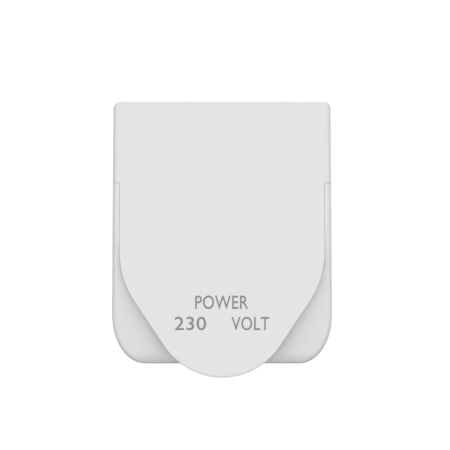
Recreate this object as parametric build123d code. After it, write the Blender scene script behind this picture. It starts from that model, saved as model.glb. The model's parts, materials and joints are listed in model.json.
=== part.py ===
from build123d import *
from math import acos, asin, atan2, cos, degrees, hypot, radians, sin, tan
import os

# Weatherproof 15 A generator inlet box for surface mounting on a wall. Units are millimetres.
# The front faces -Y, +Z is up, and the origin is the middle of the back face, which lies on the wall.

# --- Box: outline seen from the front -------------------------------------------------------------
BODY_HEIGHT = 105.0
BODY_TOP = BODY_HEIGHT / 2
BODY_BOTTOM = -BODY_HEIGHT / 2
HALF_WIDTH_TOP = 43.45          # the sides open out slightly towards the bottom
HALF_WIDTH_LOW = 44.1
TOP_CORNER_R = 3.0
LOW_CORNER_ACROSS = 13.2        # the bottom corners are taller than they are wide
LOW_CORNER_UP = 19.5
ROUND_CORNER = 0.5523           # handle length that makes a Bezier quarter follow an ellipse
SIDE_EDGE_R = 2.2
TOP_EDGE_R = 0.5

# --- Box: depth ------------------------------------------------------------------------------------
FACE_Y = -57.0                  # outer face of the closed lid
BASE_DEPTH = 26.0
BACK_WALL = 3.0
BASE_WALL = 3.2
HOUSING_WALL = 2.5
FALL_START_Z = 9.0              # below this height the front of the box falls away from the lid
FALL_R = 122.0                  # the upright front turns into the slope over this radius
FALL_DEG = 7.5
FALL_END_Z = -47.8
CHIN_R = 7.0
HOLLOW_BEND_Z = -20.0           # below this the inside of the front follows the slope outside
HOLLOW_CHIN_Z = -44.0
HOLLOW_CHIN_BACK = 3.5
PARTING_DEPTH = 0.5             # shadow groove between the base and the front housing
PARTING_WIDTH = 0.8
FAR = 70.0                      # reach of a cutting shape, outside everything

# --- Lid -------------------------------------------------------------------------------------------
LID_T = 3.0
LID_BACK_Y = FACE_Y + LID_T
LIP_T = 0.4                     # thin drip lip round the flap, which covers the gap behind it
LIP_W = 0.9
LIP_GAP = 0.08                  # round the lip where it lies in the housing's rebate
LIP_LEDGE_Y = FACE_Y + LIP_T + LIP_GAP
LIP_EDGE_R = 0.2
LID_TOP_T = 1.8
LID_SKIRT_IN = 41.5
TONGUE_HALF = 41.0
TONGUE_TOP_Z = 30.0
TONGUE_SHOULDER_Z = -7.6
TONGUE_SHOULDER_R = 36.0
TONGUE_TIP_Z = -57.95
TONGUE_TIP_R = 27.4
SPLIT_END_Z = 10.0              # the split between skirt and housing would reach the front here
SKIRT_END_Z = 20.0              # the side skirts end here, still as deep as the rounded edge
SKIRT_END_GAP = 0.1
SWING_GAP = 0.4                 # between the lid and the housing
SEAT_Y = LID_BACK_Y + 0.3       # housing face behind the closed lid
LID_SEAL_OUT = 25.2
LID_SEAL_IN = 22.8
LID_SEAL_DEPTH = 0.8
LID_SEAL_EASE = 0.1             # between the seal and its seat

# --- Hinge -----------------------------------------------------------------------------------------
HINGE_Y = -42.0
BARREL_R = 5.0
HINGE_Z = BODY_TOP - BARREL_R
HINGE_PIN_R = 1.5
HINGE_PIN_HALF = 43.0
RUNNING_CLEARANCE = 0.05
EAR_X = (30.0, 36.0)
EAR_R = 2.8
KNUCKLE_X = (23.4, 29.4)
GUTTER_R = BARREL_R + 0.5
GUTTER_END_DEG = 10.0
GUTTER_LIP = 6.4                # behind the axis, clear of the top of the open lid
BARREL_IN_R = BARREL_R - LID_TOP_T
BARREL_END_DEG = 50.0
BARREL_INTO_SKIRT = 0.5
KNUCKLE_R = BARREL_IN_R + 0.2
CORE_HALF = 41.15               # the housing's core fits between the lid's skirts
SHELF_Z = HINGE_Z - GUTTER_R

# --- Torsion spring --------------------------------------------------------------------------------
SPRING_WIRE_R = 0.4
SPRING_COIL_R = 2.5
SPRING_HALF = 4.0               # half the length of the coils
SPRING_LEG = 9.0
SPRING_LEG_IN = 0.1             # the legs leave the coils just inside their middle line

# --- Inlet -----------------------------------------------------------------------------------------
INLET_Z = -8.0
WELL_R = 22.0
WELL_WALL = 2.5
WELL_REAR_Y = -29.0
WELL_EASE = 0.2                 # the carrier and its seal are this much clear of the well
COLLAR_R = LID_SEAL_OUT + 0.8   # flat seat for the lid's seal, proud of the sloping front below
COLLAR_T = 4.0
CARRIER_SEAL_T = 0.8
CARRIER_FLANGE_T = 3.0
CARRIER_FLANGE_R = 26.0
CARRIER_LUG_X = 28.5
CARRIER_LUG_R = 4.0
CARRIER_FACE_Y = -30.5
CARRIER_PAD_R = 15.5
CARRIER_PAD_T = 1.0
CARRIER_FRONT_Y = WELL_REAR_Y + CARRIER_SEAL_T
CARRIER_REAR_Y = CARRIER_FRONT_Y + CARRIER_FLANGE_T
BARRIER_T = 1.5
BARRIER_EASE = 1.0

# --- Pins, flat-pin pattern with a wide earth --------------------------------------------------------
LIVE_PIN_RADIUS = 7.92
LIVE_PIN_DEG = 60.0
LIVE_PIN_WIDTH = 6.35
EARTH_PIN_RADIUS = 10.31
EARTH_PIN_WIDTH = 9.1
PIN_T = 1.6
PIN_TIP_Y = -47.5
PIN_ROOT_Y = -19.2

# --- Terminals ---------------------------------------------------------------------------------------
TERMINAL_REAR_Y = -13.2
TERMINAL_W = 8.0
EARTH_TERMINAL_H = 11.0
WIRE_BORE_R = 2.0
WIRE_BORE_DEPTH = 5.5
TERMINAL_SCREW_R = 1.5
TERMINAL_SCREW_Y = -16.2
TERMINAL_SCREW_OUT = 2.2
TERMINAL_SLOT_W = 0.6
TERMINAL_SLOT_DEPTH = 0.8
TERMINAL_CHAMFER = 0.5

# --- Screws ------------------------------------------------------------------------------------------
COVER_SCREWS = [(-30.0, 27.0), (30.0, 27.0), (-14.0, -42.0), (14.0, -42.0)]
POST_R = 4.2
POST_BORE_DEPTH = BASE_DEPTH - BACK_WALL - 5.0
LOW_POST_Y = SEAT_Y + 3.4       # the lower posts start inside the sloping part of the front
INTO_WALL = 1.0                 # a boss or web starts this far inside the wall that it stands on
COVER_SCREW_R = 1.7
COVER_HEAD_R = 3.1
COVER_HEAD_T = 2.4
COVER_HEAD_PLAY = 0.3
COVER_HEAD_DEPTH = 8.0
COVER_SCREW_TIP_Y = -12.0
SCREW_SEAL_T = 0.8
CROSS_REACH = 0.6               # half the cross recess, as a share of the head's radius
CROSS_W = 0.8
CROSS_DEPTH = 1.2
CARRIER_SCREW_R = 1.2
CARRIER_SCREW_PLAY = 0.1
CARRIER_HEAD_R = 2.6
CARRIER_HEAD_T = 1.8
CARRIER_SCREW_TIP_Y = -38.0
WALL_SCREW_X = 30.0
WALL_SCREW_Z = 42.0
WALL_SCREW_R = 2.3

# --- Seals round the base, set in from its outline ------------------------------------------------------
BODY_SEAL_OUT = 0.9
BODY_SEAL_IN = 2.3
BODY_SEAL_T = 1.5
WALL_SEAL_OUT = 2.0
WALL_SEAL_IN = 5.0
WALL_SEAL_T = 1.0

# --- Cable entries -----------------------------------------------------------------------------------
REAR_ENTRY_Z = 30.0
REAR_ENTRY_R = 8.0
GROMMET_BORE_R = 5.0
GROMMET_FLANGE_R = 10.0
GROMMET_FLANGE_T = 1.2
CONDUIT_R = 10.0
CONDUIT_Y = -13.0
PLUG_FLANGE_R = 11.6
PLUG_FLANGE_T = 1.8
PLUG_SEAL_T = 0.8
PLUG_STEM_TOP = BODY_BOTTOM + 7.0
PLUG_EDGE_R = 0.6
PLUG_PLAY = 0.15
PLUG_WALL = 2.0
PLUG_SLOT_W = 2.0
PLUG_SLOT_DEPTH = 0.8
PLUG_SEAL_INSET = 0.4


# --- Basic shapes ------------------------------------------------------------------------------------
def block(x, y, z):
    """A box from three (low, high) pairs."""
    middle = Pos(sum(x) / 2, sum(y) / 2, sum(z) / 2)
    return middle * Box(x[1] - x[0], y[1] - y[0], z[1] - z[0])


def rod_y(radius, y, x=0.0, z=0.0):
    """A cylinder along Y between y[0] and y[1]."""
    return Pos(x, sum(y) / 2, z) * Rot(90, 0, 0) * Cylinder(radius, abs(y[1] - y[0]))


def rod_x(radius, x, y, z):
    """A cylinder along X between x[0] and x[1]."""
    return Pos(sum(x) / 2, y, z) * Rot(0, 90, 0) * Cylinder(radius, abs(x[1] - x[0]))


def ring_y(outer, inner, y, x=0.0, z=0.0):
    return rod_y(outer, y, x, z) - rod_y(inner, (y[0] - 1, y[1] + 1), x, z)


def prism_y(face, y):
    """A front outline drawn in X and Z, run from y[1] at the back to y[0] at the front."""
    return Pos(0, y[1], 0) * extrude(Plane.XZ * face, amount=y[1] - y[0])


def prism_x(face, x):
    """A side profile drawn in Y and Z, run from x[0] to x[1]."""
    return Pos(x[0], 0, 0) * extrude(Plane.YZ * face, amount=x[1] - x[0])


def both_sides(shape):
    return shape + mirror(shape, about=Plane.YZ)


# --- Shared outlines ---------------------------------------------------------------------------------
def outline(inset=0.0, corner=TOP_CORNER_R):
    """The box seen from the front, drawn in by inset."""
    top = BODY_TOP - inset
    bottom = BODY_BOTTOM + inset
    across = LOW_CORNER_ACROSS - inset
    up = LOW_CORNER_UP - inset
    shoulder = Vector(HALF_WIDTH_TOP - inset, top)
    hip = Vector(HALF_WIDTH_LOW - inset, bottom + up)
    foot = Vector(hip.X - across, bottom)
    down = (hip - shoulder).normalized()
    side = Line(shoulder, hip)
    turn = Bezier(hip, hip + down * up * ROUND_CORNER, foot + Vector(across * ROUND_CORNER, 0), foot)
    right = [side, turn]
    left = [mirror(edge, about=Plane.YZ) for edge in right]
    lines = [Line((-shoulder.X, top), (shoulder.X, top)), Line((-foot.X, bottom), (foot.X, bottom))]
    face = make_face(right + left + lines)
    if corner > inset:
        face = fillet(face.vertices().group_by(Axis.Y)[-1], corner - inset)
    return face


def outline_ring(outer_inset, inner_inset, y):
    return prism_y(outline(outer_inset), y) - prism_y(outline(inner_inset), (y[0] - 1, y[1] + 1))


def tongue(grow=0.0):
    """The lid's flap: straight sides, round shoulders, straight flanks and a round tip."""
    shoulder = Vector(TONGUE_HALF - TONGUE_SHOULDER_R, TONGUE_SHOULDER_Z)
    tip = Vector(0, TONGUE_TIP_Z + TONGUE_TIP_R)
    span = shoulder - tip
    lean = acos((TONGUE_TIP_R - TONGUE_SHOULDER_R) / hypot(span.X, span.Y))
    turn = degrees(atan2(span.Y, span.X) - lean)
    shoulder_arc = CenterArc(shoulder, TONGUE_SHOULDER_R + grow, 0, turn)
    flank_end = tip + Vector(cos(radians(turn)), sin(radians(turn))) * (TONGUE_TIP_R + grow)
    tip_arc = CenterArc(tip, TONGUE_TIP_R + grow, turn, -180 - 2 * turn)
    half = TONGUE_HALF + grow
    side = Line((half, TONGUE_TOP_Z), (half, TONGUE_SHOULDER_Z))
    flank = Line(shoulder_arc @ 1, flank_end)
    right = [side, shoulder_arc, flank]
    left = [mirror(edge, about=Plane.YZ) for edge in right]
    return make_face(right + left + [tip_arc, Line((-half, TONGUE_TOP_Z), (half, TONGUE_TOP_Z))])


def front_profile():
    """Side view of the front: upright, then sloping back below the lid's skirts, then a round chin."""
    turn = radians(FALL_DEG)
    arc = CenterArc((FACE_Y + FALL_R, FALL_START_Z), FALL_R, 180, FALL_DEG)
    top = arc @ 1
    fall = top.Y - FALL_END_Z
    foot = Vector(top.X + fall * tan(turn), FALL_END_Z)
    chin = foot + Vector(cos(turn), sin(turn)) * CHIN_R
    chin_turn = asin((chin.Y - BODY_BOTTOM + 1) / CHIN_R)
    chin_arc = CenterArc(chin, CHIN_R, 180 + FALL_DEG, degrees(chin_turn) - FALL_DEG)
    end = chin_arc @ 1
    lines = Polyline(arc @ 0, (FACE_Y, FAR), (FAR, FAR), (FAR, end.Y), end)
    return make_face([arc, Line(top, foot), chin_arc] + list(lines.edges()))


def top_edge_waste():
    """Side view of what the rounding takes off the top front edge."""
    corner = Pos(FACE_Y, BODY_TOP) * Rectangle(2 * TOP_EDGE_R, 2 * TOP_EDGE_R)
    keep = Pos(FACE_Y + TOP_EDGE_R, BODY_TOP - TOP_EDGE_R) * Circle(TOP_EDGE_R)
    return corner - keep


def outer_form():
    """The closed box, lid and housing together, without the tongue's lower part."""
    form = prism_y(outline(corner=0), (FACE_Y - 1, 0)) & prism_x(front_profile(), (-FAR, FAR))
    front = form.edges().filter_by(lambda edge: edge.center().Y < HINGE_Y)
    side = HALF_WIDTH_TOP - LOW_CORNER_ACROSS
    rim = front.filter_by(lambda edge: abs(edge.center().X) > side or edge.center().Z < FALL_END_Z - 1)
    form = fillet(rim, SIDE_EDGE_R)
    waste = prism_y(outline(-1, corner=0) - outline(), (FACE_Y - 1, 1))
    form -= waste & block((-FAR, FAR), (-FAR, FAR), (BODY_TOP - 2 * TOP_CORNER_R, FAR))
    return form - prism_x(top_edge_waste(), (-FAR, FAR))


def skirt_curve(start, end):
    """The split between the lid's skirts and the housing: an S from the hinge down to the front."""
    middle = (start.Y + end.Y) / 2
    return Bezier(start, (start.X, middle), (end.X, middle), end)


def lid_side():
    """Side view of everything that belongs to the lid's hood."""
    split = skirt_curve(Vector(HINGE_Y, HINGE_Z - BARREL_R), Vector(FACE_Y, SPLIT_END_Z))
    barrel = CenterArc((HINGE_Y, HINGE_Z), BARREL_R, -90, 180)
    lines = Polyline(barrel @ 1, (HINGE_Y, FAR), (-FAR, FAR), (-FAR, SPLIT_END_Z), split @ 1)
    return make_face([split, barrel] + list(lines.edges()))


def lid_room():
    """Side view of the room that the housing leaves for the hood, at rest and as it swings."""
    first = -degrees(acos(SWING_GAP / GUTTER_R))
    gutter = CenterArc((HINGE_Y, HINGE_Z), GUTTER_R, first, -first - GUTTER_END_DEG)
    split = skirt_curve(gutter @ 0, Vector(FACE_Y + SKIRT_END_GAP, SPLIT_END_Z))
    lip = Vector(HINGE_Y + GUTTER_LIP, BODY_TOP)
    lines = Polyline(gutter @ 1, lip, (lip.X, FAR), (-FAR, FAR), (-FAR, SPLIT_END_Z), split @ 1)
    return make_face([split, gutter] + list(lines.edges()))


# --- Lid ---------------------------------------------------------------------------------------------
def barrel_wall():
    """Round wall behind the hinge pin, slotted for the spring's leg on the housing."""
    reach = 2 * BARREL_R
    wedge = make_face(Polyline((0, 0), (0, reach), (reach, reach),
                               (reach, -reach * tan(radians(BARREL_END_DEG))), (0, 0)))
    section = (Circle(BARREL_R) - Circle(BARREL_IN_R)) & wedge
    half = LID_SKIRT_IN + BARREL_INTO_SKIRT
    wall = prism_x(Pos(HINGE_Y, HINGE_Z) * section, (-half, half))
    leg_x = 2 * SPRING_WIRE_R - SPRING_HALF
    leg_half = SPRING_WIRE_R + SWING_GAP
    return wall - block((leg_x - leg_half, leg_x + leg_half), (HINGE_Y, 0), (0, HINGE_Z))


def ear_notches():
    """The lid is cut away behind the pin where the housing's ears stand."""
    notch = block((EAR_X[0] - SWING_GAP, EAR_X[1] + SWING_GAP), (HINGE_Y, 0), (0, FAR))
    return both_sides(notch)


def knuckles():
    tube = rod_x(KNUCKLE_R, KNUCKLE_X, HINGE_Y, HINGE_Z)
    web = block(KNUCKLE_X, (HINGE_Y - BARREL_IN_R, HINGE_Y + INTO_WALL), (HINGE_Z, BODY_TOP - TOP_EDGE_R))
    return both_sides(tube + web)


def flap():
    """The tongue's plate, with a thin rounded lip round its front."""
    lip = prism_y(tongue(), (FACE_Y, FACE_Y + LIP_T))
    rim = lip.edges().filter_by(lambda edge: edge.center().Y < FACE_Y + LIP_T / 3)
    rim = rim.filter_by(lambda edge: edge.center().Z < TONGUE_TOP_Z - 1)
    return fillet(rim, LIP_EDGE_R) + prism_y(tongue(-LIP_W), (FACE_Y + LIP_T / 2, LID_BACK_Y))


def lid():
    hood = outer_form() & prism_x(lid_side(), (-FAR, FAR))
    hood -= block((-FAR, FAR), (-FAR, 0), (0, SKIRT_END_Z))
    hood -= block((-LID_SKIRT_IN, LID_SKIRT_IN), (LID_BACK_Y, 0), (0, BODY_TOP - LID_TOP_T))
    shell = hood + flap() + barrel_wall() - ear_notches() + knuckles()
    bore = rod_x(HINGE_PIN_R + RUNNING_CLEARANCE, (-FAR, FAR), HINGE_Y, HINGE_Z)
    groove = ring_y(LID_SEAL_OUT, LID_SEAL_IN, (FACE_Y, LID_BACK_Y), z=INLET_Z)
    groove = groove & block((-FAR, FAR), (LID_BACK_Y - LID_SEAL_DEPTH, 0), (-FAR, FAR))
    return shell - bore - groove


def lid_gasket():
    span = (LID_BACK_Y - LID_SEAL_DEPTH, SEAT_Y - LID_SEAL_EASE)
    return ring_y(LID_SEAL_OUT, LID_SEAL_IN, span, z=INLET_Z)


# --- Front housing -----------------------------------------------------------------------------------
def flap_room():
    """Stepped recess in the housing: a shallow rebate for the lip and a deeper one for the plate."""
    deep = prism_y(tongue(SWING_GAP - LIP_W), (-FAR, SEAT_Y))
    return deep + prism_y(tongue(LIP_GAP), (-FAR, LIP_LEDGE_Y))


def hollow():
    """Room inside the front housing, behind its face."""
    front = SEAT_Y + HOUSING_WALL
    shelf = SHELF_Z - HOUSING_WALL
    low = BODY_BOTTOM + HOUSING_WALL
    half = CORE_HALF - HOUSING_WALL
    slope = front + (HOLLOW_BEND_Z - HOLLOW_CHIN_Z) * tan(radians(FALL_DEG))
    side = make_face(Polyline((0, low), (slope + HOLLOW_CHIN_BACK, low), (slope, HOLLOW_CHIN_Z),
                              (front, HOLLOW_BEND_Z), (front, shelf), (0, shelf), (0, low)))
    core = prism_x(side, (-half, half)) & prism_y(outline(HOUSING_WALL), (FACE_Y, 0))
    deep = prism_y(outline(HOUSING_WALL), (HINGE_Y + GUTTER_LIP + HOUSING_WALL, 0))
    return core + deep


def cover_posts():
    """Counterbored posts for the four screws that hold the housing to the base."""
    posts = []
    for x, z in COVER_SCREWS:
        start = SEAT_Y + INTO_WALL if z > 0 else LOW_POST_Y
        posts.append(rod_y(POST_R, (start, -BASE_DEPTH), x, z))
    return posts


def cover_post_holes():
    head = (FACE_Y, SEAT_Y + COVER_HEAD_DEPTH)
    holes = [rod_y(COVER_HEAD_R + COVER_HEAD_PLAY, head, x, z) for x, z in COVER_SCREWS]
    return holes + [rod_y(COVER_SCREW_R + RUNNING_CLEARANCE, (FACE_Y, 0), x, z) for x, z in COVER_SCREWS]


def hinge_ears():
    """Two upright ears that carry the hinge pin."""
    foot = block(EAR_X, (HINGE_Y - EAR_R, HINGE_Y + EAR_R), (SHELF_Z - INTO_WALL, HINGE_Z))
    return both_sides(foot + rod_x(EAR_R, EAR_X, HINGE_Y, HINGE_Z))


def carrier_bosses():
    rim = (SEAT_Y + INTO_WALL, CARRIER_FRONT_Y)
    return both_sides(rod_y(CARRIER_LUG_R, rim, CARRIER_LUG_X, INLET_Z))


def carrier_boss_holes():
    return both_sides(rod_y(CARRIER_SCREW_R, (CARRIER_SCREW_TIP_Y, 0), CARRIER_LUG_X, INLET_Z))


def front_housing():
    form = outer_form() & block((-FAR, FAR), (-FAR, -BASE_DEPTH), (-FAR, FAR))
    room = prism_x(lid_room(), (-FAR, FAR))
    room -= block((-FAR, FAR), (-FAR, 0), (0, SKIRT_END_Z - SKIRT_END_GAP))
    core = form & block((-CORE_HALF, CORE_HALF), (SEAT_Y, 0), (0, SHELF_Z))
    shell = (form - room) + core - flap_room() - hollow()
    well = rod_y(WELL_R + WELL_WALL, (SEAT_Y, WELL_REAR_Y), z=INLET_Z)
    well += rod_y(COLLAR_R, (SEAT_Y, SEAT_Y + COLLAR_T), z=INLET_Z)
    shell = shell + well + cover_posts() + hinge_ears() + carrier_bosses()
    shell -= rod_y(WELL_R, (-FAR, 0), z=INLET_Z)
    shell -= rod_x(HINGE_PIN_R, (-FAR, FAR), HINGE_Y, HINGE_Z)
    groove = (-BASE_DEPTH - PARTING_WIDTH, -BASE_DEPTH)
    return shell - carrier_boss_holes() - cover_post_holes() - outline_ring(-1, PARTING_DEPTH, groove)


# --- Hinge pin and spring ----------------------------------------------------------------------------
def hinge_pin():
    return rod_x(HINGE_PIN_R, (-HINGE_PIN_HALF, HINGE_PIN_HALF), HINGE_Y, HINGE_Z)


def lid_spring():
    """Torsion spring: close coils round the pin, one leg on the lid and one on the housing."""
    section = Circle(SPRING_COIL_R + SPRING_WIRE_R) - Circle(SPRING_COIL_R - SPRING_WIRE_R)
    coils = prism_x(Pos(HINGE_Y, HINGE_Z) * section, (-SPRING_HALF, SPRING_HALF))
    rise = SPRING_COIL_R - SPRING_LEG_IN
    leg = (HINGE_Y - SPRING_LEG, HINGE_Y - SPRING_WIRE_R)
    lid_leg = rod_y(SPRING_WIRE_R, leg, SPRING_HALF - 2 * SPRING_WIRE_R, HINGE_Z + rise)
    box_leg = rod_y(SPRING_WIRE_R, leg, 2 * SPRING_WIRE_R - SPRING_HALF, HINGE_Z - rise)
    return coils + lid_leg + box_leg


# --- Inlet -------------------------------------------------------------------------------------------
def live_place(side):
    """Centre of a live pin: side is 1 for active, -1 for neutral."""
    angle = radians(LIVE_PIN_DEG)
    return side * LIVE_PIN_RADIUS * sin(angle), INLET_Z + LIVE_PIN_RADIUS * cos(angle)


def live_pin(side):
    x, z = live_place(side)
    face = Pos(x, z) * Rot(0, 0, side * (90 - LIVE_PIN_DEG)) * Rectangle(PIN_T, LIVE_PIN_WIDTH)
    return pin_blade(face)


def earth_pin():
    face = Pos(0, INLET_Z - EARTH_PIN_RADIUS) * Rectangle(PIN_T, EARTH_PIN_WIDTH)
    return pin_blade(face)


def pin_blade(face):
    """A flat pin with its tip's edges taken off."""
    blade = prism_y(face, (PIN_TIP_Y, PIN_ROOT_Y))
    return chamfer(blade.faces().sort_by(Axis.Y)[0].edges(), PIN_T / 4)


def inlet_carrier():
    """Moulded disc that holds the pins and closes the back of the well."""
    flange = (CARRIER_FRONT_Y, CARRIER_REAR_Y)
    body = rod_y(CARRIER_FLANGE_R, flange, z=INLET_Z)
    body += block((-CARRIER_LUG_X, CARRIER_LUG_X), flange,
                  (INLET_Z - CARRIER_LUG_R, INLET_Z + CARRIER_LUG_R))
    body += both_sides(rod_y(CARRIER_LUG_R, flange, CARRIER_LUG_X, INLET_Z))
    body += rod_y(WELL_R - WELL_EASE, (CARRIER_FACE_Y, CARRIER_FRONT_Y), z=INLET_Z)
    body += rod_y(CARRIER_PAD_R, (CARRIER_FACE_Y - CARRIER_PAD_T, CARRIER_FACE_Y), z=INLET_Z)
    half = BARRIER_T / 2
    rear = (CARRIER_REAR_Y, TERMINAL_REAR_Y)
    level = INLET_Z - EARTH_PIN_RADIUS + EARTH_TERMINAL_H / 2 + BARRIER_EASE + half
    body += block((-half, half), rear, (level, INLET_Z + LIVE_PIN_RADIUS + TERMINAL_W / 2))
    body += block((-2 * TERMINAL_W, 2 * TERMINAL_W), rear, (level - half, level + half))
    screws = both_sides(rod_y(CARRIER_SCREW_R + CARRIER_SCREW_PLAY, (-FAR, 0), CARRIER_LUG_X, INLET_Z))
    return body - screws - live_pin(1) - live_pin(-1) - earth_pin()


def carrier_seal():
    span = (WELL_REAR_Y, CARRIER_FRONT_Y)
    return ring_y(WELL_R + WELL_WALL - WELL_EASE, WELL_R + WELL_EASE, span, z=INLET_Z)


# --- Terminals: a brass block on each pin, with a wire hole behind and a clamping screw ----------------
def live_terminal(side):
    x, z = live_place(side)
    half = TERMINAL_W / 2
    body = block((x - half, x + half), (CARRIER_REAR_Y, TERMINAL_REAR_Y), (z - half, z + half))
    screw = rod_x(TERMINAL_SCREW_R, sorted((x, x + side * FAR)), TERMINAL_SCREW_Y, z)
    return terminal_block(body, x, z) - screw - live_pin(side)


def earth_terminal():
    z = INLET_Z - EARTH_PIN_RADIUS
    half = TERMINAL_W / 2
    tall = EARTH_TERMINAL_H / 2
    body = block((-half, half), (CARRIER_REAR_Y, TERMINAL_REAR_Y), (z - tall, z + tall))
    screw = Pos(0, TERMINAL_SCREW_Y, z - tall) * Cylinder(TERMINAL_SCREW_R, 2 * tall)
    return terminal_block(body, 0, z) - screw - earth_pin()


def terminal_block(body, x, z):
    body = chamfer(body.faces().sort_by(Axis.Y)[-1].edges(), TERMINAL_CHAMFER)
    return body - rod_y(WIRE_BORE_R, (TERMINAL_REAR_Y - WIRE_BORE_DEPTH, 0), x, z)


def slotted_screw(length):
    """A headless screw that stands on its point, with a driver slot in its top."""
    screw = Pos(0, 0, length / 2) * Cylinder(TERMINAL_SCREW_R, length)
    return screw - Pos(0, 0, length) * Box(3 * TERMINAL_SCREW_R, TERMINAL_SLOT_W, 2 * TERMINAL_SLOT_DEPTH)


def terminal_screws():
    """One clamping screw in the outer side of each terminal."""
    length = TERMINAL_W / 2 - WIRE_BORE_R + TERMINAL_SCREW_OUT
    screws = []
    for side in (1, -1):
        x, z = live_place(side)
        place = Pos(x + side * WIRE_BORE_R, TERMINAL_SCREW_Y, z) * Rot(0, 90 * side, 0)
        screws.append(place * slotted_screw(length))
    down = EARTH_TERMINAL_H / 2 - WIRE_BORE_R + TERMINAL_SCREW_OUT
    place = Pos(0, TERMINAL_SCREW_Y, INLET_Z - EARTH_PIN_RADIUS - WIRE_BORE_R) * Rot(180, 0, 0)
    return screws + [place * slotted_screw(down)]


# --- Screws and their seals --------------------------------------------------------------------------
def cross_screw(radius, head_radius, head, length):
    """A pan-head screw along +Y with its head's underside at Y 0 and a cross recess in front."""
    shank = rod_y(radius, (0, length))
    cap = rod_y(head_radius, (-head, 0))
    rim = cap.faces().sort_by(Axis.Y)[0].edges()
    cap = fillet(rim, head / 3)
    reach = head_radius * CROSS_REACH
    arm = block((-reach, reach), (-head, CROSS_DEPTH - head), (-CROSS_W / 2, CROSS_W / 2))
    return shank + cap - arm - Rot(0, 90, 0) * arm


def cover_screws():
    under = SEAT_Y + COVER_HEAD_DEPTH - SCREW_SEAL_T
    screw = cross_screw(COVER_SCREW_R, COVER_HEAD_R, COVER_HEAD_T, COVER_SCREW_TIP_Y - under)
    return [Pos(x, under, z) * screw for x, z in COVER_SCREWS]


def cover_screw_seals():
    under = SEAT_Y + COVER_HEAD_DEPTH
    span = (under - SCREW_SEAL_T, under)
    return [ring_y(COVER_HEAD_R, COVER_SCREW_R + RUNNING_CLEARANCE, span, x, z) for x, z in COVER_SCREWS]


def carrier_screws():
    """Two screws from behind, through the carrier's lugs into the housing's bosses."""
    length = CARRIER_REAR_Y - CARRIER_SCREW_TIP_Y - 1
    screw = Rot(0, 0, 180) * cross_screw(CARRIER_SCREW_R, CARRIER_HEAD_R, CARRIER_HEAD_T, length)
    return [Pos(x, CARRIER_REAR_Y, INLET_Z) * screw for x in (-CARRIER_LUG_X, CARRIER_LUG_X)]


# --- Rear base ---------------------------------------------------------------------------------------
def rear_base():
    """Back box that is screwed to the wall."""
    shell = prism_y(outline(), (-BASE_DEPTH, 0))
    shell -= prism_y(outline(BASE_WALL), (-BASE_DEPTH - 1, -BACK_WALL))
    for x, z in COVER_SCREWS:
        shell += rod_y(POST_R, (-BASE_DEPTH, INTO_WALL - BACK_WALL), x, z)
        bore = (-BASE_DEPTH, POST_BORE_DEPTH - BASE_DEPTH)
        shell -= rod_y(COVER_SCREW_R + RUNNING_CLEARANCE, bore, x, z)
    for x in (-WALL_SCREW_X, WALL_SCREW_X):
        for z in (-WALL_SCREW_Z, WALL_SCREW_Z):
            shell -= rod_y(WALL_SCREW_R, (-FAR, FAR), x, z)
    shell -= rod_y(REAR_ENTRY_R, (-BACK_WALL - 1, 1), z=REAR_ENTRY_Z)
    shell -= rod_y(GROMMET_FLANGE_R, (-GROMMET_FLANGE_T, 1), z=REAR_ENTRY_Z)
    shell -= Pos(0, CONDUIT_Y, BODY_BOTTOM) * Cylinder(CONDUIT_R, 4 * BASE_WALL)
    return shell - body_gasket() - wall_gasket()


def body_gasket():
    """Rubber cord in a groove round the rim, between the base and the front housing."""
    return outline_ring(BODY_SEAL_OUT, BODY_SEAL_IN, (-BASE_DEPTH, BODY_SEAL_T - BASE_DEPTH))


def wall_gasket():
    """Foam strip let into the back, which keeps rain from running in along the wall."""
    return outline_ring(WALL_SEAL_OUT, WALL_SEAL_IN, (-WALL_SEAL_T, 0))


def cable_grommet():
    """Rubber grommet in the rear cable entry, with a flange on each side of the wall."""
    neck = rod_y(REAR_ENTRY_R, (-BACK_WALL, 0), z=REAR_ENTRY_Z)
    rear = rod_y(GROMMET_FLANGE_R, (-GROMMET_FLANGE_T, 0), z=REAR_ENTRY_Z)
    inner = rod_y(GROMMET_FLANGE_R, (-BACK_WALL - GROMMET_FLANGE_T, -BACK_WALL), z=REAR_ENTRY_Z)
    return neck + rear + inner - rod_y(GROMMET_BORE_R, (-FAR, FAR), z=REAR_ENTRY_Z)


def conduit_plug():
    """Blanking plug in the bottom conduit entry, with a driver slot."""
    under = BODY_BOTTOM - PLUG_SEAL_T
    flange = Pos(0, CONDUIT_Y, under - PLUG_FLANGE_T / 2) * Cylinder(PLUG_FLANGE_R, PLUG_FLANGE_T)
    flange = fillet(flange.faces().sort_by(Axis.Z)[0].edges(), PLUG_EDGE_R)
    middle = Pos(0, CONDUIT_Y, (under + PLUG_STEM_TOP) / 2)
    stem = middle * Cylinder(CONDUIT_R - PLUG_PLAY, PLUG_STEM_TOP - under)
    depth = PLUG_STEM_TOP - BODY_BOTTOM
    cup = Pos(0, CONDUIT_Y, PLUG_STEM_TOP) * Cylinder(CONDUIT_R - PLUG_WALL, 2 * depth)
    slot = Pos(0, CONDUIT_Y, under - PLUG_FLANGE_T) * Box(PLUG_FLANGE_R, PLUG_SLOT_W, 2 * PLUG_SLOT_DEPTH)
    return flange + stem - cup - slot


def conduit_plug_seal():
    middle = Pos(0, CONDUIT_Y, BODY_BOTTOM - PLUG_SEAL_T / 2)
    outer = Cylinder(PLUG_FLANGE_R - PLUG_SEAL_INSET, PLUG_SEAL_T)
    return middle * (outer - Cylinder(CONDUIT_R, PLUG_SEAL_T))


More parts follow.
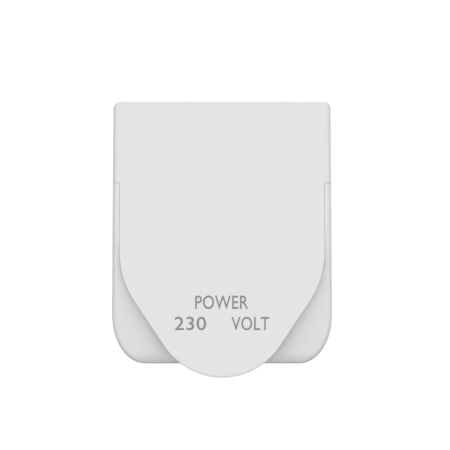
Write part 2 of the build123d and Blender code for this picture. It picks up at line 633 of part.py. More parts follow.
# --- The assembly ------------------------------------------------------------------------------------
def all_nodes():
    return {
        "rear_base": rear_base(),
        "wall_gasket": wall_gasket(),
        "body_gasket": body_gasket(),
        "front_housing": front_housing(),
        "cover_screws": cover_screws(),
        "cover_screw_seals": cover_screw_seals(),
        "cable_grommet": cable_grommet(),
        "conduit_plug": conduit_plug(),
        "conduit_plug_seal": conduit_plug_seal(),
        "inlet_carrier": inlet_carrier(),
        "carrier_seal": carrier_seal(),
        "carrier_screws": carrier_screws(),
        "active_pin": live_pin(1),
        "neutral_pin": live_pin(-1),
        "earth_pin": earth_pin(),
        "active_terminal": live_terminal(1),
        "neutral_terminal": live_terminal(-1),
        "earth_terminal": earth_terminal(),
        "terminal_screws": terminal_screws(),
        "hinge_pin": hinge_pin(),
        "lid_spring": lid_spring(),
        "lid": lid(),
        "lid_gasket": lid_gasket(),
    }


def main():
    os.makedirs("parts", exist_ok=True)
    for name, shape in all_nodes().items():
        if isinstance(shape, list):
            shape = Compound([solid for piece in shape for solid in piece.solids()])
        export_step(shape, f"parts/{name}.step")


if __name__ == "__main__":
    main()
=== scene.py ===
# The looks of a weatherproof generator inlet box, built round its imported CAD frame. Units are metres.
import json
import math

import bmesh
import bpy
from mathutils import Matrix, Vector


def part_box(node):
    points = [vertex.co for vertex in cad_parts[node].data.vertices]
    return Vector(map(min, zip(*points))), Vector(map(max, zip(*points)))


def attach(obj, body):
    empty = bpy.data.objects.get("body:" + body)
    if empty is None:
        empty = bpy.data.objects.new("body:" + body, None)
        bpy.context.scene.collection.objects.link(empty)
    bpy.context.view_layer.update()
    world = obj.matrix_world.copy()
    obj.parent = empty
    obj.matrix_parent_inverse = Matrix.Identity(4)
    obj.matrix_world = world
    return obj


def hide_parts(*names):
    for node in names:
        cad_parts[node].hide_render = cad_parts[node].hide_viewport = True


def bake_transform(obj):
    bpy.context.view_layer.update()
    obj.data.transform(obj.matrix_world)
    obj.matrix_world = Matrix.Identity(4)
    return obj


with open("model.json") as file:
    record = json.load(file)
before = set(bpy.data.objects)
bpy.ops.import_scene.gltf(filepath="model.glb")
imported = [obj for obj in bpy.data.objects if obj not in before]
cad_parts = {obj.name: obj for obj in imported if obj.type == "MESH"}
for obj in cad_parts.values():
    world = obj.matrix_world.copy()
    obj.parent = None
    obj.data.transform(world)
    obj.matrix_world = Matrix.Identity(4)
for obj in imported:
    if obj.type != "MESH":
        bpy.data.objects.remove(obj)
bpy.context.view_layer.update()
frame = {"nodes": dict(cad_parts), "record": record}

MM = 0.001
BOX = "box"
LID = "lid"
SLOT_OF = {part["node"]: part["material_slot"] for part in frame["record"]["subparts"]}

# --- Places taken from the frame ----------------------------------------------------------------------
lid_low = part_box("lid")[0]
pin_low, pin_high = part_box("hinge_pin")
carrier_low, carrier_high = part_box("inlet_carrier")
seal_low, seal_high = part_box("lid_gasket")
grommet_low, grommet_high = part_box("cable_grommet")
plug_low, plug_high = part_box("conduit_plug")
FACE_Y = lid_low.y
HINGE_Y = (pin_low.y + pin_high.y) / 2
HINGE_Z = (pin_low.z + pin_high.z) / 2
INLET_Z = (carrier_low.z + carrier_high.z) / 2

# --- Sizes of the looks -------------------------------------------------------------------------------
PRINT_T = 0.03 * MM             # the ink stands this far proud of the lid's face
EASE = 0.12 * MM                # how far the shaders round a moulded edge
TIP_EASE = 0.9 * MM             # and the edge of the lid's hanging tip
TIP_SPAN = (-0.052, -0.044)     # the rounding grows over these heights
PIN_EASE = 0.1 * MM
WIRE_EASE = 0.06 * MM
BEVEL_SAMPLES = 6
SHARP_EDGE = math.radians(35)
SHARP_WIRE = math.radians(60)
SEAL_DEPTH = 0.8 * MM           # of the seal's groove in the back of the lid
LETTER_H = 5.4 * MM
RIGHT_ANGLE = math.radians(90)


# --- Small helpers ------------------------------------------------------------------------------------
def link(obj):
    bpy.context.scene.collection.objects.link(obj)
    return obj


def object_from(mesh, name):
    return link(bpy.data.objects.new(name, mesh))


def baked(obj):
    """Turns an object with live modifiers, or a curve or text, into a plain mesh object."""
    depsgraph = bpy.context.evaluated_depsgraph_get()
    mesh = bpy.data.meshes.new_from_object(obj.evaluated_get(depsgraph), depsgraph=depsgraph)
    name = obj.name
    bpy.data.objects.remove(obj)
    return object_from(mesh, name)


def smooth(mesh, angle=SHARP_EDGE):
    mesh.shade_smooth()
    mesh.set_sharp_from_angle(angle=angle)


def dress(obj, material, body, *nodes):
    """Gives a finished piece its one material and body, and hides the CAD nodes it stands for."""
    obj.data.materials.clear()
    obj.data.materials.append(material)
    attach(obj, body)
    if nodes:
        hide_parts(*nodes)
    return obj


def rounded(points, radius, steps=4):
    """A closed outline with its corners rounded, as a list of points."""
    out = []
    for i, corner in enumerate(points):
        corner = Vector(corner)
        before = Vector(points[i - 1]) - corner
        after = Vector(points[(i + 1) % len(points)]) - corner
        reach = min(radius, before.length * 0.45, after.length * 0.45)
        start = corner + before.normalized() * reach
        end = corner + after.normalized() * reach
        for step in range(steps + 1):
            t = step / steps
            out.append(start * (1 - t) ** 2 + corner * 2 * t * (1 - t) + end * t ** 2)
    return out


def turned(outline, name, segments=96):
    """A closed outline of (radius, height) points turned about Z."""
    count = len(outline)
    verts = []
    for i in range(segments):
        turn = math.tau * i / segments
        verts += [(r * math.cos(turn), r * math.sin(turn), h) for r, h in outline]
    faces = []
    for i in range(segments):
        a, b = i * count, (i + 1) % segments * count
        for j in range(count):
            k = (j + 1) % count
            faces.append((a + j, b + j, b + k, a + k))
    mesh = bpy.data.meshes.new(name)
    mesh.from_pydata(verts, [], faces)
    bm = bmesh.new()
    bm.from_mesh(mesh)
    bmesh.ops.remove_doubles(bm, verts=bm.verts, dist=1e-9)
    bmesh.ops.recalc_face_normals(bm, faces=bm.faces)
    bm.to_mesh(mesh)
    bm.free()
    smooth(mesh)
    return mesh


def thread(radius, pitch, length, crest):
    """Vertices and faces of a screw thread: a ridge wound round Z that runs out at both ends."""
    per_turn, run_out = 24, 12
    foot, top = 0.42, 0.06          # half the ridge's width at its foot and top, in pitches
    steps = int(length / pitch * per_turn)
    verts, faces = [], []
    for i in range(steps + 1):
        turn = math.tau * i / per_turn
        middle = pitch * i / per_turn
        height = crest * min(1.0, i / run_out, (steps - i) / run_out)
        for r, h in ((radius, -foot), (radius + height, -top), (radius + height, top), (radius, foot)):
            verts.append((r * math.cos(turn), r * math.sin(turn), middle + h * pitch))
    for i in range(steps):
        for j in range(3):
            a = 4 * i + j
            faces.append((a, a + 4, a + 5, a + 1))
    return verts, faces


def cut(obj, cutters):
    """Takes boxes, given as (low, high) corners and a turn about Z, out of a mesh object."""
    for low, high, turn in cutters:
        bm = bmesh.new()
        bmesh.ops.create_cube(bm, size=1.0)
        low, high = Vector(low), Vector(high)
        bmesh.ops.scale(bm, vec=high - low, verts=bm.verts)
        bmesh.ops.translate(bm, vec=(low + high) / 2, verts=bm.verts)
        bmesh.ops.rotate(bm, matrix=Matrix.Rotation(turn, 3, "Z"), verts=bm.verts)
        tool_mesh = bpy.data.meshes.new("cutter")
        bm.to_mesh(tool_mesh)
        bm.free()
        tool = object_from(tool_mesh, "cutter")
        carve = obj.modifiers.new("cut", "BOOLEAN")
        carve.operation = "DIFFERENCE"
        carve.object = tool
        obj = baked(obj)
        bpy.data.objects.remove(tool)
    return obj


def threaded(obj, ridge, length, end):
    """Winds a thread, given as (radius, pitch, length, crest), on a screw and brings it to metres."""
    bm = bmesh.new()
    bm.from_mesh(obj.data)
    verts, faces = thread(*ridge)
    made = [bm.verts.new((x, y, z - length + end)) for x, y, z in verts]
    for face in faces:
        bm.faces.new([made[i] for i in face])
    bmesh.ops.scale(bm, vec=(MM, MM, MM), verts=bm.verts)
    bm.to_mesh(obj.data)
    bm.free()
    smooth(obj.data)
    return obj


def screw_master(name, radius, length, head_r, head_t, driver):
    """A screw along -Z with its head above Z 0. Sizes in millimetres, so that the cuts stay exact."""
    core = radius * 0.86
    crown = [(0, head_t), (head_r * 0.62, head_t), (head_r * 0.9, head_t * 0.72), (head_r, head_t * 0.3),
             (head_r, 0), (radius, 0)]
    shank = [(radius, -0.6), (core, -0.9), (core, -length + 0.8), (radius * 0.3, -length), (0, -length)]
    obj = cut(object_from(turned(crown + shank, name, 48), name), driver)
    return threaded(obj, (radius * 0.84, radius * 0.5, length - 1.8, radius * 0.16), length, 0.5)


def grub_master(name, radius, length, driver):
    """A headless screw from Z 0 down, with its driver slot at the top."""
    core = radius * 0.86
    outline = [(0, 0), (radius * 0.7, 0), (core, -0.15 * radius), (core, 0.5 - length),
               (radius * 0.45, -length), (0, -length)]
    obj = cut(object_from(turned(outline, name, 40), name), driver)
    return threaded(obj, (radius * 0.84, radius * 0.4, length - 1.2, radius * 0.15), length, 0.6)


def repeated(name, master, places, material, body, *nodes):
    """Copies a master object to several places with Geometry Nodes, then bakes them to one mesh."""
    points = bpy.data.meshes.new(name)
    points.from_pydata([place for place, turn in places], [], [])
    turns = points.attributes.new("turn", "FLOAT_VECTOR", "POINT")
    for i, (place, turn) in enumerate(places):
        turns.data[i].vector = turn
    tree = bpy.data.node_groups.new(name, "GeometryNodeTree")
    tree.interface.new_socket("Geometry", in_out="INPUT", socket_type="NodeSocketGeometry")
    tree.interface.new_socket("Geometry", in_out="OUTPUT", socket_type="NodeSocketGeometry")
    start, end = tree.nodes.new("NodeGroupInput"), tree.nodes.new("NodeGroupOutput")
    source = tree.nodes.new("GeometryNodeObjectInfo")
    source.inputs["Object"].default_value = master
    turn = tree.nodes.new("GeometryNodeInputNamedAttribute")
    turn.data_type = "FLOAT_VECTOR"
    turn.inputs["Name"].default_value = "turn"
    copies = tree.nodes.new("GeometryNodeInstanceOnPoints")
    real = tree.nodes.new("GeometryNodeRealizeInstances")
    paint = tree.nodes.new("GeometryNodeSetMaterial")
    paint.inputs["Material"].default_value = material
    tree.links.new(start.outputs[0], copies.inputs["Points"])
    tree.links.new(source.outputs["Geometry"], copies.inputs["Instance"])
    tree.links.new(turn.outputs["Attribute"], copies.inputs["Rotation"])
    tree.links.new(copies.outputs["Instances"], real.inputs["Geometry"])
    tree.links.new(real.outputs["Geometry"], paint.inputs["Geometry"])
    tree.links.new(paint.outputs["Geometry"], end.inputs[0])
    obj = object_from(points, name)
    obj.modifiers.new("copies", "NODES").node_group = tree
    obj = baked(obj)
    bpy.data.objects.remove(master)
    smooth(obj.data)
    return dress(obj, material, body, *nodes)


# --- Shader groups ------------------------------------------------------------------------------------
def group(name, inputs, outputs):
    tree = bpy.data.node_groups.new(name, "ShaderNodeTree")
    for label, kind, value in inputs:
        socket = tree.interface.new_socket(label, in_out="INPUT", socket_type=kind)
        socket.default_value = value
    for label, kind in outputs:
        tree.interface.new_socket(label, in_out="OUTPUT", socket_type=kind)
    return tree, tree.nodes.new("NodeGroupInput"), tree.nodes.new("NodeGroupOutput")


def add(tree, kind, **values):
    node = tree.nodes.new(kind)
    for key, value in values.items():
        setattr(node, key, value)
    return node


def feed(tree, socket, value):
    """Links a socket to another, or sets its value."""
    if isinstance(value, bpy.types.NodeSocket):
        tree.links.new(value, socket)
    else:
        socket.default_value = value


def maths(tree, operation, a, b=0.0, clamp=False):
    node = add(tree, "ShaderNodeMath", operation=operation, use_clamp=clamp)
    feed(tree, node.inputs[0], a)
    feed(tree, node.inputs[1], b)
    return node.outputs[0]


def noise_at(tree, scale, detail=2.0, rough=0.5, stretch=None):
    place = add(tree, "ShaderNodeTexCoord").outputs["Object"]
    if stretch:
        mapping = add(tree, "ShaderNodeMapping")
        mapping.inputs["Scale"].default_value = stretch
        tree.links.new(place, mapping.inputs["Vector"])
        place = mapping.outputs["Vector"]
    node = add(tree, "ShaderNodeTexNoise")
    tree.links.new(place, node.inputs["Vector"])
    feed(tree, node.inputs["Scale"], scale)
    node.inputs["Detail"].default_value = detail
    node.inputs["Roughness"].default_value = rough
    return node.outputs["Fac"]


def ramp(tree, value, span, levels):
    """Moves smoothly from one level to another as value crosses span."""
    node = add(tree, "ShaderNodeMapRange", interpolation_type="SMOOTHSTEP")
    tree.links.new(value, node.inputs["Value"])
    node.inputs["From Min"].default_value, node.inputs["From Max"].default_value = span
    node.inputs["To Min"].default_value, node.inputs["To Max"].default_value = levels
    return node.outputs["Result"]


FINISH_OUTPUTS = [("Colour", "NodeSocketColor"), ("Roughness", "NodeSocketFloat"),
                  ("Height", "NodeSocketFloat")]


def make_grain_group():
    """Spark-eroded mould texture: fine pits over a slow, faint cloudiness."""
    inputs = [("Grain Scale", "NodeSocketFloat", 3000.0), ("Cloud Scale", "NodeSocketFloat", 60.0),
              ("Cloud", "NodeSocketFloat", 0.02), ("Colour", "NodeSocketColor", (0.8, 0.8, 0.8, 1)),
              ("Roughness", "NodeSocketFloat", 0.4), ("Roughness Spread", "NodeSocketFloat", 0.06)]
    tree, inp, out = group("Mould grain", inputs, FINISH_OUTPUTS)
    fine = noise_at(tree, inp.outputs["Grain Scale"], 3.0, 0.6)
    cloud = noise_at(tree, inp.outputs["Cloud Scale"], 3.0, 0.55)
    swing = maths(tree, "SUBTRACT", cloud, 0.5)
    shade = maths(tree, "MULTIPLY_ADD", swing, inp.outputs["Cloud"])
    shade.node.inputs[2].default_value = 1.0
    tint = add(tree, "ShaderNodeVectorMath", operation="SCALE")
    tree.links.new(inp.outputs["Colour"], tint.inputs[0])
    tree.links.new(shade, tint.inputs["Scale"])
    tree.links.new(tint.outputs[0], out.inputs["Colour"])
    spread = maths(tree, "MULTIPLY", swing, inp.outputs["Roughness Spread"])
    tree.links.new(maths(tree, "ADD", inp.outputs["Roughness"], spread), out.inputs["Roughness"])
    tree.links.new(fine, out.inputs["Height"])
    return tree


def make_scratch_group():
    """Fine scratches or drawing marks along one axis, with a blotchy sheen under them."""
    inputs = [("Scale", "NodeSocketFloat", 400.0), ("Blotch Scale", "NodeSocketFloat", 150.0),
              ("Colour", "NodeSocketColor", (0.6, 0.6, 0.6, 1)),
              ("Dull Colour", "NodeSocketColor", (0.4, 0.4, 0.4, 1)),
              ("Roughness", "NodeSocketFloat", 0.25), ("Roughness Spread", "NodeSocketFloat", 0.2)]
    tree, inp, out = group("Metal marks", inputs, FINISH_OUTPUTS)
    marks = noise_at(tree, inp.outputs["Scale"], 4.0, 0.6, stretch=(8.0, 0.6, 8.0))
    blotch = noise_at(tree, inp.outputs["Blotch Scale"], 3.0, 0.6)
    blend = add(tree, "ShaderNodeMix", data_type="RGBA")
    tree.links.new(maths(tree, "MULTIPLY", blotch, marks, clamp=True), blend.inputs["Factor"])
    tree.links.new(inp.outputs["Colour"], blend.inputs["A"])
    tree.links.new(inp.outputs["Dull Colour"], blend.inputs["B"])
    tree.links.new(blend.outputs["Result"], out.inputs["Colour"])
    spread = maths(tree, "MULTIPLY", maths(tree, "SUBTRACT", blotch, 0.5), inp.outputs["Roughness Spread"])
    tree.links.new(maths(tree, "ADD", inp.outputs["Roughness"], spread), out.inputs["Roughness"])
    tree.links.new(marks, out.inputs["Height"])
    return tree


GRAIN = make_grain_group()
MARKS = make_scratch_group()


# --- Materials ----------------------------------------------------------------------------------------
def finish_with(name, effect, values, bump, metallic=0.0, specular=0.5, subsurface=0.0, ease=EASE):
    """A Principled material whose colour, roughness and bump come from one shader group."""
    material = bpy.data.materials.new(name)
    material.use_nodes = True
    tree = material.node_tree
    tree.nodes.clear()
    out = add(tree, "ShaderNodeOutputMaterial")
    shader = add(tree, "ShaderNodeBsdfPrincipled")
    look = add(tree, "ShaderNodeGroup", node_tree=effect)
    for key, value in values.items():
        look.inputs[key].default_value = value
    edge = add(tree, "ShaderNodeBevel", samples=BEVEL_SAMPLES)
    edge.inputs["Radius"].default_value = ease
    relief = add(tree, "ShaderNodeBump")
    relief.inputs["Distance"].default_value = bump
    tree.links.new(edge.outputs["Normal"], relief.inputs["Normal"])
    tree.links.new(look.outputs["Colour"], shader.inputs["Base Color"])
    tree.links.new(look.outputs["Roughness"], shader.inputs["Roughness"])
    tree.links.new(look.outputs["Height"], relief.inputs["Height"])
    tree.links.new(relief.outputs["Normal"], shader.inputs["Normal"])
    tree.links.new(shader.outputs["BSDF"], out.inputs["Surface"])
    shader.inputs["Metallic"].default_value = metallic
    shader.inputs["Specular IOR Level"].default_value = specular
    if subsurface:
        shader.inputs["Subsurface Weight"].default_value = subsurface
        shader.inputs["Subsurface Radius"].default_value = (1.0, 0.9, 0.8)
        shader.inputs["Subsurface Scale"].default_value = 0.6 * MM
    return material


white_plastic = finish_with(
    "white weatherproof plastic", GRAIN,
    {"Colour": (0.79, 0.78, 0.765, 1), "Roughness": 0.42, "Roughness Spread": 0.08, "Cloud": 0.012,
     "Cloud Scale": 45.0, "Grain Scale": 2600.0}, 0.008 * MM, subsurface=0.06)


def rounder_tip(material):
    """The same plastic, with its edges rounded further at the lid's hanging tip."""
    plastic = material.copy()
    plastic.name = "white plastic of the lid"
    tree = plastic.node_tree
    parts = add(tree, "ShaderNodeSeparateXYZ")
    tree.links.new(add(tree, "ShaderNodeTexCoord").outputs["Object"], parts.inputs[0])
    radius = ramp(tree, parts.outputs["Z"], TIP_SPAN, (TIP_EASE, EASE))
    edge = next(node for node in tree.nodes if node.bl_idname == "ShaderNodeBevel")
    tree.links.new(radius, edge.inputs["Radius"])
    return plastic


lid_plastic = rounder_tip(white_plastic)
grey_insulator = finish_with(
    "dark grey insulator", GRAIN,
    {"Colour": (0.035, 0.036, 0.038, 1), "Roughness": 0.5, "Roughness Spread": 0.15, "Cloud": 0.25,
     "Cloud Scale": 90.0, "Grain Scale": 2200.0}, 0.02 * MM)
black_rubber = finish_with(
    "black rubber", GRAIN,
    {"Colour": (0.016, 0.016, 0.017, 1), "Roughness": 0.72, "Roughness Spread": 0.2, "Cloud": 0.4,
     "Cloud Scale": 220.0, "Grain Scale": 1500.0}, 0.03 * MM, specular=0.3)
foam = finish_with(
    "closed-cell foam", GRAIN,
    {"Colour": (0.045, 0.046, 0.05, 1), "Roughness": 0.92, "Roughness Spread": 0.1, "Cloud": 0.6,
     "Cloud Scale": 700.0, "Grain Scale": 900.0}, 0.15 * MM, specular=0.2)
printing_ink = finish_with(
    "grey printing ink", GRAIN,
    {"Colour": (0.25, 0.25, 0.25, 1), "Roughness": 0.4, "Roughness Spread": 0.1, "Cloud": 0.12,
     "Cloud Scale": 900.0, "Grain Scale": 3000.0}, 0.004 * MM)
brass = finish_with(
    "worn brass", MARKS,
    {"Colour": (0.83, 0.63, 0.31, 1), "Dull Colour": (0.68, 0.47, 0.21, 1), "Roughness": 0.3,
     "Roughness Spread": 0.16, "Scale": 350.0, "Blotch Scale": 180.0}, 0.004 * MM,
    metallic=1.0, ease=PIN_EASE)
stainless = finish_with(
    "bright stainless steel", MARKS,
    {"Colour": (0.66, 0.66, 0.67, 1), "Dull Colour": (0.42, 0.42, 0.43, 1), "Roughness": 0.26,
     "Roughness Spread": 0.2, "Scale": 500.0, "Blotch Scale": 300.0}, 0.003 * MM,
    metallic=1.0, ease=WIRE_EASE)
spring_wire = finish_with(
    "drawn spring wire", MARKS,
    {"Colour": (0.55, 0.55, 0.57, 1), "Dull Colour": (0.3, 0.3, 0.31, 1), "Roughness": 0.3,
     "Roughness Spread": 0.2, "Scale": 900.0, "Blotch Scale": 700.0}, 0.003 * MM,
    metallic=1.0, ease=WIRE_EASE)

FINISH_OF_SLOT = {"white_plastic": white_plastic, "grey_insulator": grey_insulator,
                  "black_rubber": black_rubber, "foam_seal": foam, "brass": brass,
                  "stainless_steel": stainless, "spring_steel": spring_wire}

for node, slot in SLOT_OF.items():
    frame["nodes"][node].data.materials.clear()
    frame["nodes"][node].data.materials.append(FINISH_OF_SLOT[slot])


# --- Mouldings ----------------------------------------------------------------------------------------
def lid_shell():
    """The lid, with its face set back by the thickness of the ink."""
    mesh = frame["nodes"]["lid"].data.copy()
    for vertex in mesh.vertices:
        if vertex.co.y < FACE_Y + PRINT_T / 3:
            vertex.co.y += PRINT_T
    return dress(object_from(mesh, "lid_shell"), lid_plastic, LID, "lid")


lid_shell()


# --- Turned rubber ------------------------------------------------------------------------------------
def along_y(mesh, place):
    """Lays a shape turned about Z along Y, with its top towards the front, and puts it in place."""
    mesh.transform(Matrix.Translation(place) @ Matrix.Rotation(RIGHT_ANGLE, 4, "X"))


def lid_seal():
    """Ring seal with a square foot in the lid's groove and two round beads that meet the seat."""
    outer = (seal_high.x - seal_low.x) / 2
    inner = outer - 2.4 * MM
    top = seal_high.y - seal_low.y
    foot = 0.62 * top
    steps = 16
    outline = [(inner, 0), (inner, -foot)]
    for step in range(steps + 1):
        t = step / steps
        bead = abs(math.sin(math.tau * t)) ** 0.7
        outline.append((inner + (outer - inner) * t, -foot - (top - foot) * bead))
    outline += [(outer, -foot), (outer, 0)]
    mesh = turned(outline, "lid_seal", 128)
    along_y(mesh, (0, seal_low.y, INLET_Z))
    dress(object_from(mesh, "lid_seal_beads"), black_rubber, LID, "lid_gasket")


def grommet():
    """Cable grommet with soft edges, a stepped flange and a rib in its bore."""
    top = grommet_high.y - grommet_low.y
    flange, neck, bore = 10.0 * MM, 8.0 * MM, 5.0 * MM
    edge, slope, rib = 1.2 * MM, 1.6 * MM, 0.35 * MM
    outline = rounded([(bore, 0), (flange - slope, 0), (flange, edge * 0.55), (flange, edge), (neck, edge),
                       (neck, top - edge), (flange, top - edge), (flange, top - edge * 0.55),
                       (flange - slope, top), (bore, top), (bore + rib, top * 0.72),
                       (bore, top * 0.5), (bore + rib, top * 0.28)], rib)
    mesh = turned([tuple(point) for point in outline], "grommet")
    middle = (grommet_low.z + grommet_high.z) / 2
    along_y(mesh, (0, grommet_high.y, middle))
    dress(object_from(mesh, "grommet_soft"), black_rubber, BOX, "cable_grommet")


lid_seal()
grommet()


# --- Screws -------------------------------------------------------------------------------------------
# Driver recesses, in millimetres, as boxes for cut().
CROSS = [((-1.75, -0.36, 1.0), (1.75, 0.36, 9.0), math.radians(45)),
         ((-1.75, -0.36, 1.0), (1.75, 0.36, 9.0), math.radians(135)),
         ((-0.7, -0.7, 0.6), (0.7, 0.7, 9.0), 0.0)]
SMALL_CROSS = [((-1.3, -0.3, 0.6), (1.3, 0.3, 9.0), math.radians(45)),
               ((-1.3, -0.3, 0.6), (1.3, 0.3, 9.0), math.radians(135))]
GRUB_SLOT = [((-4.0, -0.3, -0.8), (4.0, 0.3, 4.0), 0.0)]
GRUB_R = 1.5


def solid_corners(node):
    """(lowest, highest) corners of each loose solid of a CAD node, from the lowest up and left to right."""
    bm = bmesh.new()
    bm.from_mesh(frame["nodes"][node].data)
    bmesh.ops.remove_doubles(bm, verts=bm.verts, dist=1e-6)
    left = set(bm.verts)
    corners = []
    while left:
        reached, edge = [], [left.pop()]
        while edge:
            vert = edge.pop()
            reached.append(vert.co.copy())
            for link_edge in vert.link_edges:
                other = link_edge.other_vert(vert)
                if other in left:
                    left.remove(other)
                    edge.append(other)
        low = Vector([min(co[i] for co in reached) for i in range(3)])
        high = Vector([max(co[i] for co in reached) for i in range(3)])
        corners.append((low, high))
    bm.free()
    return sorted(corners, key=lambda pair: (round(pair[0].z, 5), round(pair[0].x, 5)))


def spun(tilt, axis, spin):
    """The turn of a screw that is first spun about its own length and then tilted about an axis."""
    return (Matrix.Rotation(tilt, 3, axis) @ Matrix.Rotation(spin, 3, "Z")).to_euler()


def screws():
    """The cover's screws, from the front, and the carrier's, from behind, each stopped at its own turn."""
    head_t = 2.4
    places = []
    for (low, high), spin in zip(solid_corners("cover_screws"), (0.3, 1.1, 0.75, 0.1)):
        place = ((low.x + high.x) / 2, low.y + head_t * MM, (low.z + high.z) / 2)
        places.append((place, spun(RIGHT_ANGLE, "X", spin)))
    master = screw_master("cover_screw", 1.7, (high.y - low.y) / MM - head_t, 3.1, head_t, CROSS)
    repeated("cover_screws_threaded", master, places, stainless, BOX, "cover_screws")
    head_t = 1.8
    places = []
    for (low, high), spin in zip(solid_corners("carrier_screws"), (0.5, 0.15)):
        place = ((low.x + high.x) / 2, high.y - head_t * MM, (low.z + high.z) / 2)
        places.append((place, spun(-RIGHT_ANGLE, "X", spin)))
    master = screw_master("carrier_screw", 1.2, (high.y - low.y) / MM - head_t, 2.6, head_t, SMALL_CROSS)
    repeated("carrier_screws_threaded", master, places, stainless, BOX, "carrier_screws")


def clamping_screws():
    """The headless screws in the terminals, with their slotted ends outwards."""
    (low, high), *sides = solid_corners("terminal_screws")
    place = ((low.x + high.x) / 2, (low.y + high.y) / 2, low.z)
    turn = spun(2 * RIGHT_ANGLE, "X", 0.4)
    master = grub_master("earth_clamp", GRUB_R, (high.z - low.z) / MM, GRUB_SLOT)
    repeated("earth_clamp_screw", master, [(place, turn)], stainless, BOX, "terminal_screws")
    places = []
    for low, high in sides:
        side = 1 if low.x > 0 else -1
        out = high.x if side > 0 else low.x
        place = (out, (low.y + high.y) / 2, (low.z + high.z) / 2)
        places.append((place, spun(side * RIGHT_ANGLE, "Y", 0.7)))
    master = grub_master("live_clamp", GRUB_R, (high.x - low.x) / MM, GRUB_SLOT)
    repeated("live_clamp_screws", master, places, stainless, BOX, "terminal_screws")


screws()
clamping_screws()


# --- Spring -------------------------------------------------------------------------------------------
def spring():
    """Torsion spring wound round the pin: one leg lies on the lid, the other on the housing."""
    wire, coil, turns, per_turn = 0.4 * MM, 2.5 * MM, 7.5, 28
    low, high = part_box("lid_spring")
    right = high.x - 2 * wire
    left = low.x + 2 * wire
    leg_y, bend_y = low.y + 0.1 * MM, HINGE_Y - 2 * MM
    path = [(right, leg_y, HINGE_Z + coil), (right, bend_y, HINGE_Z + coil)]
    steps = int(turns * per_turn)
    for i in range(steps + 1):
        turn = math.tau * i / per_turn
        across = right + (left - right) * i / steps
        path.append((across, HINGE_Y + coil * math.sin(turn), HINGE_Z + coil * math.cos(turn)))
    path += [(left, bend_y, HINGE_Z - coil), (left, leg_y, HINGE_Z - coil)]
    curve = bpy.data.curves.new("spring", "CURVE")
    curve.dimensions = "3D"
    curve.bevel_depth = wire
    curve.bevel_resolution = 4
    curve.use_fill_caps = True
    line = curve.splines.new("POLY")
    line.points.add(len(path) - 1)
    for point, place in zip(line.points, path):
        point.co = (*place, 1)
    obj = baked(link(bpy.data.objects.new("spring_coils", curve)))
    smooth(obj.data, SHARP_WIRE)
    obj.data.materials.clear()
    obj.data.materials.append(spring_wire)
    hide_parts("lid_spring")
    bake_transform(obj)


spring()


# --- Marks of the mould -------------------------------------------------------------------------------
def low_disc(name, radius, rise, rim):
    """A round mark with a fine raised rim, as an ejector pin leaves."""
    outline = [(0, 0), (radius - 2 * rim, 0), (radius - rim, rise), (radius, rise),
               (radius + 0.3 * rim, -rise), (0, -rise)]
    return object_from(turned(outline, name, 40), name)


def ejector_marks():
    """Ejector pin marks on the back of the lid, round its seal, and on the inlet's disc."""
    inside_y = seal_low.y + SEAL_DEPTH
    ring = (seal_high.x - seal_low.x) / 2 + 5.0 * MM
    places = []
    for degrees in (35, 145, 215, 270, 325):
        turn = math.radians(degrees)
        place = (ring * math.cos(turn), inside_y, INLET_Z + ring * math.sin(turn))
        places.append((place, (-RIGHT_ANGLE, 0, 0)))
    master = low_disc("lid_mark", 1.9 * MM, 0.05 * MM, 0.12 * MM)
    repeated("lid_ejector_marks", master, places, white_plastic, LID)
    places = []
    for x, z in ((-9.5, -6.5), (9.5, -6.5), (0, 10.5)):
        places.append(((x * MM, carrier_low.y, INLET_Z + z * MM), (RIGHT_ANGLE, 0, 0)))
    master = low_disc("disc_mark", 1.2 * MM, 0.04 * MM, 0.1 * MM)
    repeated("disc_ejector_marks", master, places, grey_insulator, BOX)


ejector_marks()


# --- Grip round the conduit plug ----------------------------------------------------------------------
def plug_grip():
    """Fine upright ribs round the blanking plug's flange."""
    centre = ((plug_low.x + plug_high.x) / 2, (plug_low.y + plug_high.y) / 2)
    flange_r = (plug_high.x - plug_low.x) / 2
    tall, deep, half, count = 0.95 * MM, 0.28 * MM, 0.2 * MM, 60
    outline = rounded([(-half, 0), (half, 0), (half, tall), (-half, tall)], 0.12 * MM)
    verts = [(x, y, z) for y in (-deep, deep) for x, z in outline]
    n = len(outline)
    faces = [tuple(range(n)), tuple(range(2 * n - 1, n - 1, -1))]
    faces += [(i, (i + 1) % n, n + (i + 1) % n, n + i) for i in range(n)]
    mesh = bpy.data.meshes.new("plug_rib")
    mesh.from_pydata(verts, [], faces)
    ring_r, foot_z = flange_r - deep * 0.99, plug_low.z + 0.72 * MM
    places = []
    for i in range(count):
        turn = math.tau * i / count
        place = (centre[0] + ring_r * math.cos(turn), centre[1] + ring_r * math.sin(turn), foot_z)
        places.append((place, (0, 0, turn + RIGHT_ANGLE)))
    repeated("plug_grip_ribs", object_from(mesh, "plug_rib"), places, white_plastic, BOX)


plug_grip()


# --- Print on the lid ---------------------------------------------------------------------------------
def printed_line(words, name, centre_x, centre_z, width):
    """One group of printed letters, centred at a place on the lid's face and stretched to a width."""
    text = bpy.data.curves.new(name, "FONT")
    text.body = words
    text.extrude = PRINT_T / 2
    text.offset = 0.006
    text.space_character = 1.05
    obj = baked(link(bpy.data.objects.new(name, text)))
    mesh = obj.data
    across = [vertex.co.x for vertex in mesh.vertices]
    up = [vertex.co.y for vertex in mesh.vertices]
    fit = Matrix.Diagonal((width / (max(across) - min(across)), LETTER_H / (max(up) - min(up)), 1, 1))
    middle = Vector(((max(across) + min(across)) / 2, (max(up) + min(up)) / 2, 0))
    stand = Matrix.Rotation(RIGHT_ANGLE, 4, "X")
    place = Matrix.Translation((centre_x, FACE_Y + PRINT_T / 2, centre_z))
    mesh.transform(place @ stand @ fit @ Matrix.Translation(-middle))
    dress(obj, printing_ink, LID)


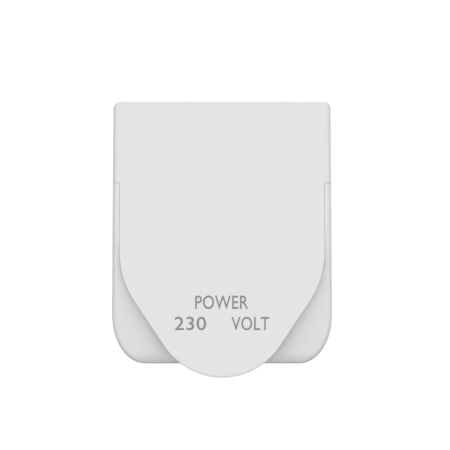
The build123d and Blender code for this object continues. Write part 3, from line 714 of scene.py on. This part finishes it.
printed_line("POWER", "print_power", -0.15 * MM, -27.8 * MM, 21.2 * MM)
printed_line("230", "print_volts", -12.7 * MM, -36.3 * MM, 12.6 * MM)
printed_line("VOLT", "print_unit", 11.3 * MM, -36.3 * MM, 15.1 * MM)


# --- Studio -------------------------------------------------------------------------------------------
# Where the light changes, on a sphere of radius 1 round the box, and where the glow behind it lies.
DEPTH_SPAN = (-0.35, 0.35)
FLOOR_SPAN = (-0.9, -0.15)
SIDE_SPAN = (0.2, 0.9)          # of X squared
GLOW_FROM = (0.35, 0.8, 0.5)
GLOW_SPAN = (0.72, 0.96)        # of the cosine of the angle from there


def studio_air(front, back, floor, side, rear_glow, backdrop):
    """Even light from the front of the room, less from the sides and behind, before a white backdrop."""
    world = bpy.data.worlds.new("studio air")
    world.use_nodes = True
    tree = world.node_tree
    air = tree.nodes["Background"]
    air.inputs["Color"].default_value = (1, 1, 1, 1)
    place = add(tree, "ShaderNodeTexCoord").outputs["Generated"]
    parts = add(tree, "ShaderNodeSeparateXYZ")
    tree.links.new(place, parts.inputs[0])
    depth = ramp(tree, parts.outputs["Y"], DEPTH_SPAN, (front, back))
    level = maths(tree, "MULTIPLY", depth, ramp(tree, parts.outputs["Z"], FLOOR_SPAN, (floor, 1.0)))
    across = maths(tree, "MULTIPLY", parts.outputs["X"], parts.outputs["X"])
    level = maths(tree, "MULTIPLY", level, ramp(tree, across, SIDE_SPAN, (1.0, side)))
    aim = add(tree, "ShaderNodeVectorMath", operation="DOT_PRODUCT")
    tree.links.new(place, aim.inputs[0])
    aim.inputs[1].default_value = Vector(GLOW_FROM).normalized()
    glow = ramp(tree, aim.outputs["Value"], GLOW_SPAN, (0.0, rear_glow))
    seen = maths(tree, "ADD", level, glow)
    path = add(tree, "ShaderNodeLightPath")
    mix = add(tree, "ShaderNodeMix", data_type="FLOAT")
    tree.links.new(path.outputs["Is Camera Ray"], mix.inputs["Factor"])
    tree.links.new(seen, mix.inputs["A"])
    mix.inputs["B"].default_value = backdrop
    tree.links.new(mix.outputs["Result"], air.inputs["Strength"])
    bpy.context.scene.world = world


def camera():
    """Straight on, from far enough that the box hardly narrows with depth."""
    distance, view_width = 2.4, 0.18
    lens = bpy.data.cameras.new("camera")
    lens.sensor_width = 36.0
    lens.lens = lens.sensor_width * distance / view_width
    obj = link(bpy.data.objects.new("camera", lens))
    obj.location = (1.16 * MM, FACE_Y - distance, 3.1 * MM)
    obj.rotation_euler = (RIGHT_ANGLE, 0, 0)
    bpy.context.scene.camera = obj


bpy.context.scene.view_settings.view_transform = "Standard"
studio_air(front=1.235, back=0.3, floor=0.3, side=0.55, rear_glow=2.4, backdrop=1.05)
camera()
